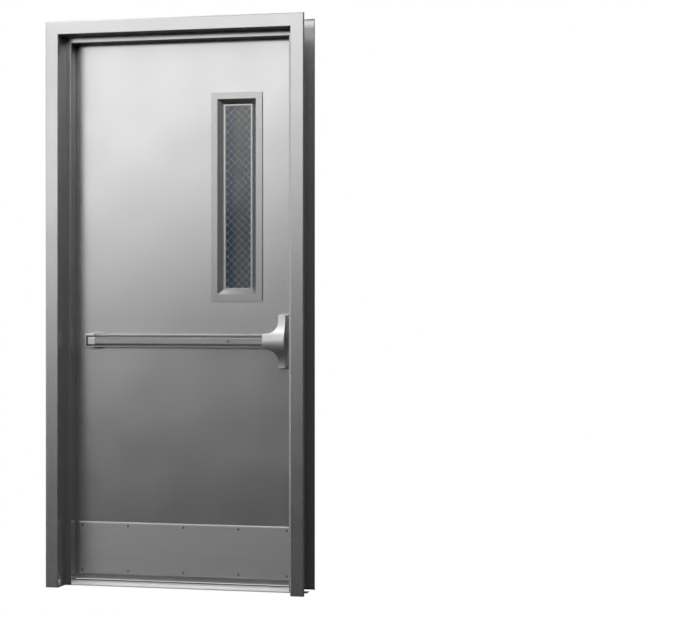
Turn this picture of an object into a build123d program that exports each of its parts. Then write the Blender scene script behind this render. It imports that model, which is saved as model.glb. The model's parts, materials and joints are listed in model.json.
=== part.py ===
"""A single hollow metal door in its pressed steel frame, with a touch-bar exit device.

Millimetres. X runs along the wall, from the hinges to the latch. Y runs through the wall, from the
push side (-Y) to the pull side (+Y), and 0 is the middle of the frame's depth. Z is up and 0 is the
floor. The origin lies on the underside of the threshold, in the middle of the doorway.
"""

import os
from math import atan2, cos, sin, sqrt

from build123d import *

# Leaf
LEAF_WIDTH = 914.0
LEAF_HEIGHT = 2107.5
LEAF_THICKNESS = 44.5
LEAF_BEVEL = 2.8  # the latch edge leans back by this much across the thickness
FACE_SHEET = 1.2
END_CHANNEL_HEIGHT = 25.0
END_CHANNEL_SHEET = 1.5

# Gaps round the leaf
EDGE_GAP = 5.5
HEAD_GAP = 5.5
FLOOR_GAP = 19.0
STOP_GAP = 5.5

# Frame profile
FACE_WIDTH = 52.0
JAMB_DEPTH = 178.0
PUSH_RABBET = 74.0
STOP_HEIGHT = 24.0
FRAME_SHEET = 1.5
BACK_RETURN = 12.7
BEND_RADIUS = 3.0

# Frame fittings
FLOOR_CLIP_SHEET = 2.0
FLOOR_CLIP_LENGTH = 66.0
FLOOR_CLIP_HEIGHT = 60.0
FLOOR_BOLT_RADIUS = 5.5
FLOOR_BOLT_SPACING = 30.0
WALL_ANCHOR_SHEET = 1.5
WALL_ANCHOR_WIDTH = 64.0
WALL_ANCHOR_REACH = 28.0
WALL_ANCHOR_FOOT = 20.0
WALL_ANCHOR_END_MARGIN = 300.0
WALL_ANCHOR_CLEARANCE = 49.0
SILENCER_RADIUS = 5.0
SILENCER_PROUD = 4.5
SILENCER_STEM_RADIUS = 2.5
SILENCER_STEM_LENGTH = 4.5
SILENCER_SHARES = (0.2, 0.5, 0.8)  # places up the leaf

# Threshold
THRESHOLD_DEPTH = 101.6
THRESHOLD_HEIGHT = 12.7
THRESHOLD_BEVEL = 14.0
THRESHOLD_LIP = 4.0
THRESHOLD_WALL = 3.0
THRESHOLD_FRONT_FOOT = 16.6
THRESHOLD_MIDDLE_FOOT = 8.0
THRESHOLD_BACK_FOOT = 14.0
THRESHOLD_FLUTE_PITCH = 9.0
THRESHOLD_FLUTE_DEPTH = 0.9
THRESHOLD_FIT = 2.0

# Hinges
HINGE_HEIGHT = 114.3
HINGE_PLATE = 3.4
HINGE_SEAT = 38.1  # how far a hinge leaf reaches in from the pull face
PIN_OFFSET = 12.7  # pin centre beyond the pull face
BARREL_RADIUS = 7.0
PIN_RADIUS = 4.0
PIN_CLEARANCE = 0.05
PIN_TIP_RADIUS = 6.0
PIN_TIP_HEIGHT = 3.0
KNUCKLES = 5
KNUCKLE_GAP = 0.3
PLATE_BARREL_GAP = 1.5
TOP_HINGE_DROP = 184.0
BOTTOM_HINGE_RISE = 318.0
MORTISE_CLEARANCE = 0.2
REINFORCEMENT_PLATE = 5.0
REINFORCEMENT_MARGIN = 50.0

# Vision lite
LITE_BACKSET = 240.5  # from the leaf's latch edge to the middle of the glass
LITE_Z = 1506.0
LITE_VIEW_WIDTH = 102.0
LITE_VIEW_HEIGHT = 701.0
LITE_FRAME_REACH = 50.5  # from the edge of the clear glass to the outer edge of the lite frame
LITE_SLOPE_REACH = 26.0
LITE_PROUD = 7.0
LITE_SHEET = 1.5
LITE_CUTOUT_REACH = 34.0
GLASS_THICKNESS = 6.4
GLASS_COVER = 12.0
BEAD_REACH = 6.5
BEAD_THICKNESS = 5.0

# Kick plate
KICK_MARGIN = 28.0
KICK_HEIGHT = 204.0
KICK_LIFT = 20.5
KICK_THICKNESS = 1.3
KICK_BEVEL_WIDTH = 4.0
KICK_BEVEL_DEPTH = 0.8

# Exit device: lengths along the leaf, heights, and how far each piece stands proud of the push face
DEVICE_Z = 951.0
DEVICE_BACKSET = 37.0  # from the leaf's latch edge to the head cover
DEVICE_SETBACK = 70.0  # from the leaf's hinge edge to the end cap
RAIL_HEIGHT = 50.0
RAIL_PROUD = 40.0
RAIL_WALL = 2.5
RAIL_LIP = 4.5
RAIL_IN_COVER = 14.0
PAD_HEIGHT = 28.0
PAD_PROUD = 54.0
PAD_DEPTH = 30.0
PAD_WALL = 2.5
PAD_BEVEL = 4.0
PAD_GROOVE = 0.8
PAD_GROOVE_PLACE = 6.5
PAD_TRAVEL = 12.0
PAD_IN_COVER = 8.0
PAD_END_CLEARANCE = 9.5
END_BLOCK_LENGTH = 32.0
END_BLOCK_HEIGHT = 30.5
END_BLOCK_PROUD = 56.0
END_BLOCK_DEPTH = 30.0
END_BLOCK_ROUND = 3.0
GUIDE_FROM_START = 106.0
GUIDE_FROM_END = 220.0
GUIDE_RADIUS = 4.0
GUIDE_CLEARANCE = 0.06
GUIDE_TIP_CLEARANCE = 5.5
CARRIER_LENGTH = 26.0
CARRIER_DEPTH = 14.0
DOGGING_FROM_COVER = 135.0
DOGGING_HOLE_RADIUS = 4.7
DOGGING_RADIUS = 6.0
DOGGING_PROUD = 30.0
DOGGING_SOCKET_RADIUS = 3.2
DOGGING_SOCKET_DEPTH = 8.0
END_CAP_WALL = 5.5
END_CAP_SIDE = 3.75
END_CAP_LENGTH = 38.0
END_CAP_PROUD = 46.0
END_CAP_ROUND = 4.0
END_BRACKET_PLATE = 3.0
END_BRACKET_LENGTH = 26.0
END_BRACKET_WIDTH = 36.0
END_BRACKET_LUG = 16.0
COVER_LENGTH = 88.0
COVER_TIP_WIDTH = 30.0
COVER_TIP_REACH = 102.0
COVER_TIP_ROUND = 5.0
COVER_EDGE_ROUND = 2.5
COVER_NECK_REACH = 29.5
COVER_FLARE_RADIUS = 42.0
COVER_PROUD = 64.0
COVER_TIP_PROUD = 40.0
COVER_CROWN_RADIUS = 90.0
COVER_WALL = 2.0
CHASSIS_PLATE = 4.0
CHASSIS_MARGIN = 4.0
CHASSIS_HOUSING_LENGTH = 44.0
CHASSIS_HOUSING_HEIGHT = 40.0
CHASSIS_HOUSING_PROUD = 40.0
LATCH_LENGTH = 40.0
LATCH_HEIGHT = 26.0
LATCH_INNER_PROUD = 16.0
LATCH_OUTER_PROUD = 34.0
LATCH_NOSE = 1.5
LATCH_CLEARANCE = 2.0

# Rim strike
STRIKE_PLATE = 3.0
STRIKE_HEIGHT = 70.0
STRIKE_WIDTH = 34.0
STRIKE_LIP_HEIGHT = 32.0
STRIKE_LIP_PROUD = 8.0
STRIKE_LIP_WIDTH = 6.0
STRIKE_MARGIN = 3.0
STRIKE_REINFORCEMENT = 4.5
STRIKE_REINFORCEMENT_HEIGHT = 120.0

# Places worked out from the sizes above
LEAF_LEFT = -LEAF_WIDTH / 2
LEAF_RIGHT = LEAF_WIDTH / 2
LEAF_TOP = FLOOR_GAP + LEAF_HEIGHT
RABBET_X = LEAF_RIGHT + EDGE_GAP
FRAME_X = RABBET_X + FACE_WIDTH
SOFFIT_X = RABBET_X - STOP_HEIGHT
FRAME_TOP = LEAF_TOP + HEAD_GAP + FACE_WIDTH
PUSH_Y = -JAMB_DEPTH / 2
PULL_Y = JAMB_DEPTH / 2
LEAF_PUSH_Y = PULL_Y - LEAF_THICKNESS
LEAF_MIDDLE_Y = PULL_Y - LEAF_THICKNESS / 2
STOP_FRONT_Y = PUSH_Y + PUSH_RABBET
STOP_BACK_Y = LEAF_PUSH_Y - STOP_GAP
PROFILE_REACH = FACE_WIDTH + STOP_HEIGHT
PIN_X = LEAF_LEFT - EDGE_GAP / 2
PIN_Y = PULL_Y + PIN_OFFSET
TOP_HINGE_Z = LEAF_TOP - TOP_HINGE_DROP
BOTTOM_HINGE_Z = FLOOR_GAP + BOTTOM_HINGE_RISE
HINGES = {
    "top": TOP_HINGE_Z,
    "middle": (TOP_HINGE_Z + BOTTOM_HINGE_Z) / 2,
    "bottom": BOTTOM_HINGE_Z,
}
LITE_X = LEAF_RIGHT - LITE_BACKSET
COVER_END = LEAF_RIGHT - DEVICE_BACKSET
COVER_START = COVER_END - COVER_LENGTH
RAIL_START = LEAF_LEFT + DEVICE_SETBACK + END_CAP_WALL
RAIL_END = COVER_START + RAIL_IN_COVER
END_BLOCK_START = RAIL_START + PAD_END_CLEARANCE
PAD_START = END_BLOCK_START + END_BLOCK_LENGTH
PAD_END = COVER_START + PAD_IN_COVER
GUIDE_PLACES = (PAD_START + GUIDE_FROM_START, PAD_END - GUIDE_FROM_END)
GUIDE_PROUD = PAD_PROUD - PAD_WALL - PAD_TRAVEL - GUIDE_TIP_CLEARANCE
DOGGING_X = COVER_START - DOGGING_FROM_COVER
FAR = 4000.0  # longer than anything here, for cutting


def block(low, high):
    """A box between two opposite corners."""
    size = [b - a for a, b in zip(low, high)]
    middle = [(a + b) / 2 for a, b in zip(low, high)]
    return Pos(*middle) * Box(*size)


def outline(points):
    """A flat face with straight edges through these points."""
    return make_face(Polyline(*points, close=True))


def along_x(face, start, end):
    """A face drawn as (Y, Z), drawn out along X."""
    return Plane.YZ.offset(start) * extrude(face, amount=end - start)


def along_y(face, start, end):
    """A face drawn as (X, Z), drawn out along Y."""
    return Plane.XZ.offset(-end) * extrude(face, amount=end - start)


def along_z(face, start, end):
    """A face drawn as (X, Y), drawn out along Z."""
    return Pos(0, 0, start) * extrude(face, amount=end - start)


def cylinder_y(x, z, radius, start, end):
    return along_y(Pos(x, z) * Circle(radius), start, end)


def proud(distance):
    """The Y of a point that stands this far proud of the leaf's push face."""
    return LEAF_PUSH_Y - distance


def save(name, shape):
    solids = shape.solids()
    whole = solids[0] if len(solids) == 1 else Compound(children=solids)
    export_step(whole, f"parts/{name}.step")


def profile_corners(inset):
    """The double-rabbet profile, as (distance in from the back of the frame, depth)."""
    back = inset
    face = FACE_WIDTH - inset
    soffit = PROFILE_REACH - inset
    return [
        (back, PUSH_Y + inset),
        (face, PUSH_Y + inset),
        (face, STOP_FRONT_Y + inset),
        (soffit, STOP_FRONT_Y + inset),
        (soffit, STOP_BACK_Y - inset),
        (face, STOP_BACK_Y - inset),
        (face, PULL_Y - inset),
        (back, PULL_Y - inset),
    ]


def vertices_at(face, corners):
    return [v for v in face.vertices() if any(abs(v.Y - y) + abs(v.X + x) < 0.01 for x, y in corners)]


def bent_profile(inset, outer_radius, inner_radius):
    """The profile with its corners bent: the two corners at the foot of the stop turn the other way."""
    corners = profile_corners(inset)
    face = outline([(-x, y) for x, y in corners])
    feet = [corners[2], corners[5]]
    face = fillet(vertices_at(face, feet), inner_radius)
    return fillet(vertices_at(face, corners), outer_radius)


def frame_section():
    """The pressed sheet: the outer form less the throat, open at the back between its two returns."""
    inner_bend = BEND_RADIUS - FRAME_SHEET
    outer = bent_profile(0, BEND_RADIUS, inner_bend)
    inner = bent_profile(FRAME_SHEET, inner_bend, BEND_RADIUS)
    mouth = Pos(-FRAME_SHEET / 2, 0) * Rectangle(FRAME_SHEET * 2, JAMB_DEPTH - 2 * BACK_RETURN)
    return outer - inner - mouth


def mitre_prism(points):
    return along_y(outline(points), PUSH_Y - 1, PULL_Y + 1)


def strike_side_bar():
    """The latch jamb's bar, mitred at the top."""
    bar = Pos(FRAME_X, 0, 0) * extrude(frame_section(), amount=FRAME_TOP)
    reach = PROFILE_REACH + 1
    wedge = [
        (FRAME_X, 0),
        (FRAME_X, FRAME_TOP),
        (FRAME_X - reach, FRAME_TOP - reach),
        (FRAME_X - reach, 0),
    ]
    return bar & mitre_prism(wedge)


def head_bar():
    bar = Rot(0, -90, 0) * extrude(frame_section(), amount=2 * FRAME_X)
    bar = Pos(FRAME_X, 0, FRAME_TOP) * bar
    reach = PROFILE_REACH + 1
    wedge = [
        (-FRAME_X, FRAME_TOP),
        (FRAME_X, FRAME_TOP),
        (FRAME_X - reach, FRAME_TOP - reach),
        (reach - FRAME_X, FRAME_TOP - reach),
    ]
    return bar & mitre_prism(wedge)


def jamb_plate_block(z, clearance):
    """The room that a hinge leaf takes in the hinge jamb."""
    half = HINGE_HEIGHT / 2 + clearance
    low = (-RABBET_X - HINGE_PLATE, PULL_Y - HINGE_SEAT - clearance, z - half)
    return block(low, (-RABBET_X + clearance, PIN_Y - BARREL_RADIUS - PLATE_BARREL_GAP, z + half))


def leaf_plate_block(z, clearance):
    """The room that a hinge leaf takes in the door leaf's hinge edge."""
    half = HINGE_HEIGHT / 2 + clearance
    low = (LEAF_LEFT - clearance, PULL_Y - HINGE_SEAT - clearance, z - half)
    return block(low, (LEAF_LEFT + HINGE_PLATE, PIN_Y - BARREL_RADIUS - PLATE_BARREL_GAP, z + half))


def hinge_jamb():
    bar = mirror(strike_side_bar(), about=Plane.YZ)
    for z in HINGES.values():
        bar -= jamb_plate_block(z, MORTISE_CLEARANCE)
    return bar


def hinge_reinforcements():
    """Thick plates behind the jamb's mortises, milled for the hinge leaves."""
    plates = []
    half = HINGE_HEIGHT / 2 + REINFORCEMENT_MARGIN
    outer = -RABBET_X - FRAME_SHEET
    for z in HINGES.values():
        low = (outer - REINFORCEMENT_PLATE, PULL_Y - HINGE_SEAT - 2 * FRAME_SHEET, z - half)
        plate = block(low, (outer, PULL_Y - 2 * FRAME_SHEET, z + half))
        plates.append(plate - jamb_plate_block(z, MORTISE_CLEARANCE))
    return Compound(children=plates)


def floor_clip(side):
    """An angle welded in the soffit channel, with two holes for anchor bolts into the floor."""
    inner = SOFFIT_X + FRAME_SHEET
    front = STOP_FRONT_Y + FRAME_SHEET + BEND_RADIUS
    back = STOP_BACK_Y - FRAME_SHEET - BEND_RADIUS
    foot = block((inner, front, 0), (inner + FLOOR_CLIP_LENGTH, back, FLOOR_CLIP_SHEET))
    wall = block((inner, front, 0), (inner + FLOOR_CLIP_SHEET, back, FLOOR_CLIP_HEIGHT))
    clip = foot + wall
    middle = inner + FLOOR_CLIP_SHEET + (FLOOR_CLIP_LENGTH - FLOOR_CLIP_SHEET) / 2
    for x in (middle - FLOOR_BOLT_SPACING / 2, middle + FLOOR_BOLT_SPACING / 2):
        hole = Pos(x, (front + back) / 2, 0) * Cylinder(FLOOR_BOLT_RADIUS, 4 * FLOOR_CLIP_SHEET)
        clip -= hole
    return clip if side > 0 else mirror(clip, about=Plane.YZ)


def wall_anchor_heights():
    """Near each end of the jamb, and one just above the strike's reinforcement."""
    half_heights = (STRIKE_REINFORCEMENT_HEIGHT + WALL_ANCHOR_WIDTH) / 2
    above_strike = DEVICE_Z + half_heights + WALL_ANCHOR_CLEARANCE
    return [WALL_ANCHOR_END_MARGIN, above_strike, FRAME_TOP - WALL_ANCHOR_END_MARGIN]


def wall_anchors(side):
    """Z-shaped stud anchors welded in the soffit channel, up the jamb."""
    inner = SOFFIT_X + FRAME_SHEET
    web_y = (STOP_FRONT_Y + STOP_BACK_Y) / 2
    end = inner + WALL_ANCHOR_REACH
    anchors = []
    for z in wall_anchor_heights():
        low, high = z - WALL_ANCHOR_WIDTH / 2, z + WALL_ANCHOR_WIDTH / 2
        web = block((inner, web_y, low), (end, web_y + WALL_ANCHOR_SHEET, high))
        foot = block((inner, web_y, low), (inner + WALL_ANCHOR_SHEET, web_y + WALL_ANCHOR_FOOT, high))
        lug_start = web_y + WALL_ANCHOR_SHEET - WALL_ANCHOR_FOOT
        lug = block((end - WALL_ANCHOR_SHEET, lug_start, low), (end, web_y + WALL_ANCHOR_SHEET, high))
        anchor = web + foot + lug
        anchors.append(anchor if side > 0 else mirror(anchor, about=Plane.YZ))
    return Compound(children=anchors)


def silencer_places():
    x = RABBET_X - STOP_HEIGHT / 2
    return [(x, FLOOR_GAP + LEAF_HEIGHT * share) for share in SILENCER_SHARES]


def silencers():
    """Rubber bumpers plugged into the latch jamb's stop."""
    bumpers = []
    for x, z in silencer_places():
        dome = cylinder_y(x, z, SILENCER_RADIUS, STOP_BACK_Y, STOP_BACK_Y + SILENCER_PROUD)
        dome = chamfer(dome.edges().sort_by(Axis.Y)[-1], SILENCER_PROUD / 3)
        stem = cylinder_y(x, z, SILENCER_STEM_RADIUS, STOP_BACK_Y - SILENCER_STEM_LENGTH, STOP_BACK_Y)
        bumpers.append(dome + stem)
    return Compound(children=bumpers)


def strike_jamb():
    bar = strike_side_bar()
    for x, z in silencer_places():
        bar -= cylinder_y(x, z, SILENCER_STEM_RADIUS, STOP_BACK_Y - SILENCER_STEM_LENGTH, STOP_BACK_Y + 1)
    return bar


def rim_strike():
    """A flat strike on the soffit, with a raised lip that holds the latch against a pull."""
    back = STOP_BACK_Y - STRIKE_MARGIN
    half = STRIKE_HEIGHT / 2
    low = (SOFFIT_X - STRIKE_PLATE, back - STRIKE_WIDTH, DEVICE_Z - half)
    plate = block(low, (SOFFIT_X, back, DEVICE_Z + half))
    plate = chamfer(plate.edges().filter_by(Axis.Y).group_by(Axis.X)[0], STRIKE_PLATE / 2)
    lip_half = STRIKE_LIP_HEIGHT / 2
    lip_low = (SOFFIT_X - STRIKE_LIP_PROUD, back - STRIKE_LIP_WIDTH, DEVICE_Z - lip_half)
    lip = block(lip_low, (SOFFIT_X, back, DEVICE_Z + lip_half))
    lip = fillet(lip.edges().filter_by(Axis.Z).group_by(Axis.X)[0], STRIKE_LIP_WIDTH / 3)
    return plate + lip


def strike_reinforcement():
    inner = SOFFIT_X + FRAME_SHEET
    half = STRIKE_REINFORCEMENT_HEIGHT / 2
    low = (inner, STOP_FRONT_Y + 2 * FRAME_SHEET, DEVICE_Z - half)
    return block(low, (inner + STRIKE_REINFORCEMENT, STOP_BACK_Y - 2 * FRAME_SHEET, DEVICE_Z + half))


def threshold():
    """A fluted saddle with bevelled edges, hollow below between its feet, notched round the stops."""
    back = PULL_Y
    front = back - THRESHOLD_DEPTH
    form = outline([
        (front, 0),
        (front, THRESHOLD_LIP),
        (front + THRESHOLD_BEVEL, THRESHOLD_HEIGHT),
        (back - THRESHOLD_BEVEL, THRESHOLD_HEIGHT),
        (back, THRESHOLD_LIP),
        (back, 0),
    ])
    flat = THRESHOLD_DEPTH - 2 * THRESHOLD_BEVEL
    count = int(flat / THRESHOLD_FLUTE_PITCH)
    first = (front + back) / 2 - THRESHOLD_FLUTE_PITCH * (count - 1) / 2
    for i in range(count):
        y = first + i * THRESHOLD_FLUTE_PITCH
        deep = THRESHOLD_HEIGHT - THRESHOLD_FLUTE_DEPTH
        form -= outline([
            (y - THRESHOLD_FLUTE_DEPTH, THRESHOLD_HEIGHT),
            (y, deep),
            (y + THRESHOLD_FLUTE_DEPTH, THRESHOLD_HEIGHT),
        ])
    bay_top = THRESHOLD_HEIGHT - THRESHOLD_WALL
    bay_front = front + THRESHOLD_FRONT_FOOT
    bay_back = back - THRESHOLD_BACK_FOOT
    middle = (bay_front + bay_back) / 2
    half_foot = THRESHOLD_MIDDLE_FOOT / 2
    for low, high in ((bay_front, middle - half_foot), (middle + half_foot, bay_back)):
        form -= Pos((low + high) / 2, bay_top / 2) * Rectangle(high - low, bay_top)
    saddle = along_x(form, -RABBET_X, RABBET_X)
    for low, high in ((-RABBET_X, -SOFFIT_X), (SOFFIT_X, RABBET_X)):
        saddle -= block((low, front, 0), (high, STOP_BACK_Y + THRESHOLD_FIT, THRESHOLD_HEIGHT))
    return saddle


def knuckle_spans(z):
    """Low and high ends of each knuckle of the hinge at this height, from the bottom up."""
    pitch = HINGE_HEIGHT / KNUCKLES
    base = z - HINGE_HEIGHT / 2
    half_gap = KNUCKLE_GAP / 2
    return [(base + i * pitch + half_gap, base + (i + 1) * pitch - half_gap) for i in range(KNUCKLES)]


def hinge_leaf(z, side):
    """One leaf of a butt hinge and its knuckles. side -1 is the jamb's, +1 is the door's."""
    plate = jamb_plate_block(z, 0) if side < 0 else leaf_plate_block(z, 0)
    if side < 0:
        tab_x = (-RABBET_X - HINGE_PLATE, -RABBET_X)
    else:
        tab_x = (LEAF_LEFT, LEAF_LEFT + HINGE_PLATE)
    first = 0 if side < 0 else 1
    bore = Pos(PIN_X, PIN_Y, z) * Cylinder(PIN_RADIUS + PIN_CLEARANCE, 2 * HINGE_HEIGHT)
    for low, high in knuckle_spans(z)[first::2]:
        barrel = Pos(PIN_X, PIN_Y, (low + high) / 2) * Cylinder(BARREL_RADIUS, high - low)
        tab = block((tab_x[0], PIN_Y - BARREL_RADIUS - PLATE_BARREL_GAP, low), (tab_x[1], PIN_Y, high))
        plate += tab + barrel
    return plate - bore


def hinge_pin(z):
    """A pin with a button tip above the top knuckle and a plug below the bottom one."""
    half = HINGE_HEIGHT / 2 - KNUCKLE_GAP / 2
    shaft = Pos(PIN_X, PIN_Y, z) * Cylinder(PIN_RADIUS, 2 * half)
    tip = Cylinder(PIN_TIP_RADIUS, PIN_TIP_HEIGHT)
    tip = chamfer(tip.edges().filter_by(GeomType.CIRCLE).sort_by(Axis.Z)[-1], PIN_TIP_HEIGHT / 3)
    top = Pos(PIN_X, PIN_Y, z + half + PIN_TIP_HEIGHT / 2) * tip
    bottom = Pos(PIN_X, PIN_Y, z - half - PIN_TIP_HEIGHT / 2) * Rot(180, 0, 0) * tip
    return shaft + top + bottom


def leaf_section(inset):
    """The leaf cut across, less a margin all round: the latch edge leans back to clear the jamb."""
    corners = [
        (LEAF_LEFT, LEAF_PUSH_Y),
        (LEAF_RIGHT - LEAF_BEVEL, LEAF_PUSH_Y),
        (LEAF_RIGHT, PULL_Y),
        (LEAF_LEFT, PULL_Y),
    ]
    face = outline(corners)
    return offset(face, amount=-inset, kind=Kind.INTERSECTION) if inset else face


def lite_block(reach, low_y, high_y):
    """A box round the clear glass, larger than it by reach on each side."""
    half_width = LITE_VIEW_WIDTH / 2 + reach
    half_height = LITE_VIEW_HEIGHT / 2 + reach
    low = (LITE_X - half_width, low_y, LITE_Z - half_height)
    return block(low, (LITE_X + half_width, high_y, LITE_Z + half_height))


def leaf_cutouts(body):
    body -= lite_block(LITE_CUTOUT_REACH, LEAF_PUSH_Y - 1, PULL_Y + 1)
    for z in HINGES.values():
        body -= leaf_plate_block(z, MORTISE_CLEARANCE)
    return body


def face_pan(side):
    """One face of the leaf, with its edges folded back as far as the seam."""
    shell = along_z(leaf_section(0) - leaf_section(FACE_SHEET), FLOOR_GAP, LEAF_TOP)
    if side < 0:
        half = block((-FAR, LEAF_PUSH_Y - 1, 0), (FAR, LEAF_MIDDLE_Y, FAR))
    else:
        half = block((-FAR, LEAF_MIDDLE_Y, 0), (FAR, PULL_Y + 1, FAR))
    return leaf_cutouts(shell & half)


def leaf_core():
    core = along_z(leaf_section(FACE_SHEET), FLOOR_GAP + END_CHANNEL_HEIGHT, LEAF_TOP - END_CHANNEL_HEIGHT)
    return leaf_cutouts(core)


def end_channel(side):
    """The inverted channel that closes the leaf at the top, or stiffens it, open, at the bottom."""
    channel_inner = FACE_SHEET + END_CHANNEL_SHEET
    if side > 0:
        low, high = LEAF_TOP - END_CHANNEL_HEIGHT, LEAF_TOP
    else:
        low, high = FLOOR_GAP, FLOOR_GAP + END_CHANNEL_HEIGHT
    body = along_z(leaf_section(FACE_SHEET), low, high)
    room_low = (-FAR, LEAF_PUSH_Y + channel_inner, low - 1)
    return body - block(room_low, (FAR, PULL_Y - channel_inner, high - END_CHANNEL_SHEET))


def lite_frame(side):
    """A pressed frame swept round the glass: a return to the leaf, a face, a slope down to the bead."""
    glass_face = GLASS_THICKNESS / 2
    bead_face = glass_face + BEAD_THICKNESS
    face = LEAF_THICKNESS / 2 + LITE_PROUD
    leaf = LEAF_THICKNESS / 2
    slope = sqrt((LITE_SLOPE_REACH - BEAD_REACH) ** 2 + (face - bead_face) ** 2)
    run = LITE_SHEET * slope / (face - bead_face)
    section = [
        (BEAD_REACH / 4, bead_face),
        (BEAD_REACH / 4, bead_face + LITE_SHEET),
        (BEAD_REACH, bead_face + LITE_SHEET),
        (LITE_SLOPE_REACH, face),
        (LITE_FRAME_REACH, face),
        (LITE_FRAME_REACH, leaf),
        (LITE_FRAME_REACH - LITE_SHEET, leaf),
        (LITE_FRAME_REACH - LITE_SHEET, face - LITE_SHEET),
        (LITE_SLOPE_REACH + run, face - LITE_SHEET),
        (BEAD_REACH + run, bead_face),
    ]
    half_width = LITE_VIEW_WIDTH / 2
    half_height = LITE_VIEW_HEIGHT / 2
    left, right = LITE_X - half_width, LITE_X + half_width
    bottom, top = LITE_Z - half_height, LITE_Z + half_height
    corners = [(LITE_X, 0, bottom), (right, 0, bottom), (right, 0, top), (left, 0, top), (left, 0, bottom)]
    path = Polyline(*corners, close=True)
    face = outline([(LEAF_MIDDLE_Y + side * y, bottom - out) for out, y in section])
    start = Plane(origin=(LITE_X, 0, 0), x_dir=(0, 1, 0), z_dir=(1, 0, 0))
    return sweep(start * face, path=path, transition=Transition.RIGHT).clean()


def lite_bead(side):
    near = GLASS_THICKNESS / 2
    far = near + BEAD_THICKNESS
    low, high = sorted((LEAF_MIDDLE_Y + side * near, LEAF_MIDDLE_Y + side * far))
    return lite_block(BEAD_REACH, low, high) - lite_block(0, low - 1, high + 1)


def lite_glass():
    half = GLASS_THICKNESS / 2
    return lite_block(GLASS_COVER, LEAF_MIDDLE_Y - half, LEAF_MIDDLE_Y + half)


def kick_plate():
    low = (LEAF_LEFT + KICK_MARGIN, proud(KICK_THICKNESS), FLOOR_GAP + KICK_LIFT)
    high = (LEAF_RIGHT - KICK_MARGIN, LEAF_PUSH_Y, FLOOR_GAP + KICK_LIFT + KICK_HEIGHT)
    plate = block(low, high)
    front = plate.faces().sort_by(Axis.Y)[0]
    return chamfer(front.edges(), KICK_BEVEL_WIDTH, KICK_BEVEL_DEPTH, reference=front)


def device_section(points):
    """A face from (distance proud of the leaf, height from the device's centre line)."""
    return outline([(proud(out), DEVICE_Z + up) for out, up in points])


def exit_device_rail():
    """A C-shaped rail, open at the front between two lips."""
    half = RAIL_HEIGHT / 2
    inner = half - RAIL_WALL
    slot = half - RAIL_LIP
    front = RAIL_PROUD
    section = device_section([
        (0, -half),
        (front, -half),
        (front, -slot),
        (front - RAIL_WALL, -slot),
        (front - RAIL_WALL, -inner),
        (RAIL_WALL, -inner),
        (RAIL_WALL, inner),
        (front - RAIL_WALL, inner),
        (front - RAIL_WALL, slot),
        (front, slot),
        (front, half),
        (0, half),
    ])
    rail = along_x(section, RAIL_START, RAIL_END)
    corners = [e for e in rail.edges().filter_by(Axis.X) if abs(e.center().Y - proud(front)) < 0.01]
    outer = [e for e in corners if abs(abs(e.center().Z - DEVICE_Z) - half) < 0.01]
    return fillet(outer, RAIL_WALL / 2)


def push_pad():
    """The touch pad: a channel with bevelled, grooved front corners, and the dogging key's hole."""
    half = PAD_HEIGHT / 2
    inner = half - PAD_WALL
    back = PAD_PROUD - PAD_DEPTH
    front = PAD_PROUD
    groove = PAD_GROOVE_PLACE
    lower = [
        (back, -inner),
        (back, -half),
        (front - PAD_BEVEL, -half),
        (front, PAD_BEVEL - half),
        (front, groove - PAD_GROOVE - half),
        (front - PAD_GROOVE, groove - half),
        (front, groove + PAD_GROOVE - half),
    ]
    upper = [(out, -up) for out, up in reversed(lower)]
    room = [(front - PAD_WALL, inner), (front - PAD_WALL, -inner)]
    pad = along_x(device_section(lower + upper + room), PAD_START, PAD_END)
    hole_end = proud(PAD_PROUD - PAD_DEPTH / 2)
    hole = cylinder_y(DOGGING_X, DEVICE_Z, DOGGING_HOLE_RADIUS, proud(PAD_PROUD + 1), hole_end)
    return pad - hole


def push_pad_end_block():
    half = END_BLOCK_HEIGHT / 2
    low = (END_BLOCK_START, proud(END_BLOCK_PROUD), DEVICE_Z - half)
    high = (PAD_START, proud(END_BLOCK_PROUD - END_BLOCK_DEPTH), DEVICE_Z + half)
    body = block(low, high)
    front = body.faces().sort_by(Axis.Y)[0]
    return fillet(front.edges(), END_BLOCK_ROUND)


def push_pad_carriers():
    """Blocks inside the pad that run on the rail's guide posts."""
    half = PAD_HEIGHT / 2 - PAD_WALL
    back = PAD_PROUD - PAD_DEPTH
    bored = []
    for x in GUIDE_PLACES:
        low = (x - CARRIER_LENGTH / 2, proud(back + CARRIER_DEPTH), DEVICE_Z - half)
        carrier = block(low, (x + CARRIER_LENGTH / 2, proud(back), DEVICE_Z + half))
        bore = cylinder_y(x, DEVICE_Z, GUIDE_RADIUS + GUIDE_CLEARANCE, proud(PAD_PROUD), proud(0))
        bored.append(carrier - bore)
    return Compound(children=bored)


def pad_guide_posts():
    low, high = proud(GUIDE_PROUD), proud(RAIL_WALL)
    return Compound(children=[cylinder_y(x, DEVICE_Z, GUIDE_RADIUS, low, high) for x in GUIDE_PLACES])


def dogging_spindle():
    """The turned piece that the dogging key reaches through the pad, with a hexagon socket."""
    spindle = cylinder_y(DOGGING_X, DEVICE_Z, DOGGING_RADIUS, proud(DOGGING_PROUD), proud(RAIL_WALL))
    hexagon = Pos(DOGGING_X, DEVICE_Z) * RegularPolygon(DOGGING_SOCKET_RADIUS, 6)
    return spindle - along_y(hexagon, proud(DOGGING_PROUD), proud(DOGGING_PROUD - DOGGING_SOCKET_DEPTH))


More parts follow.
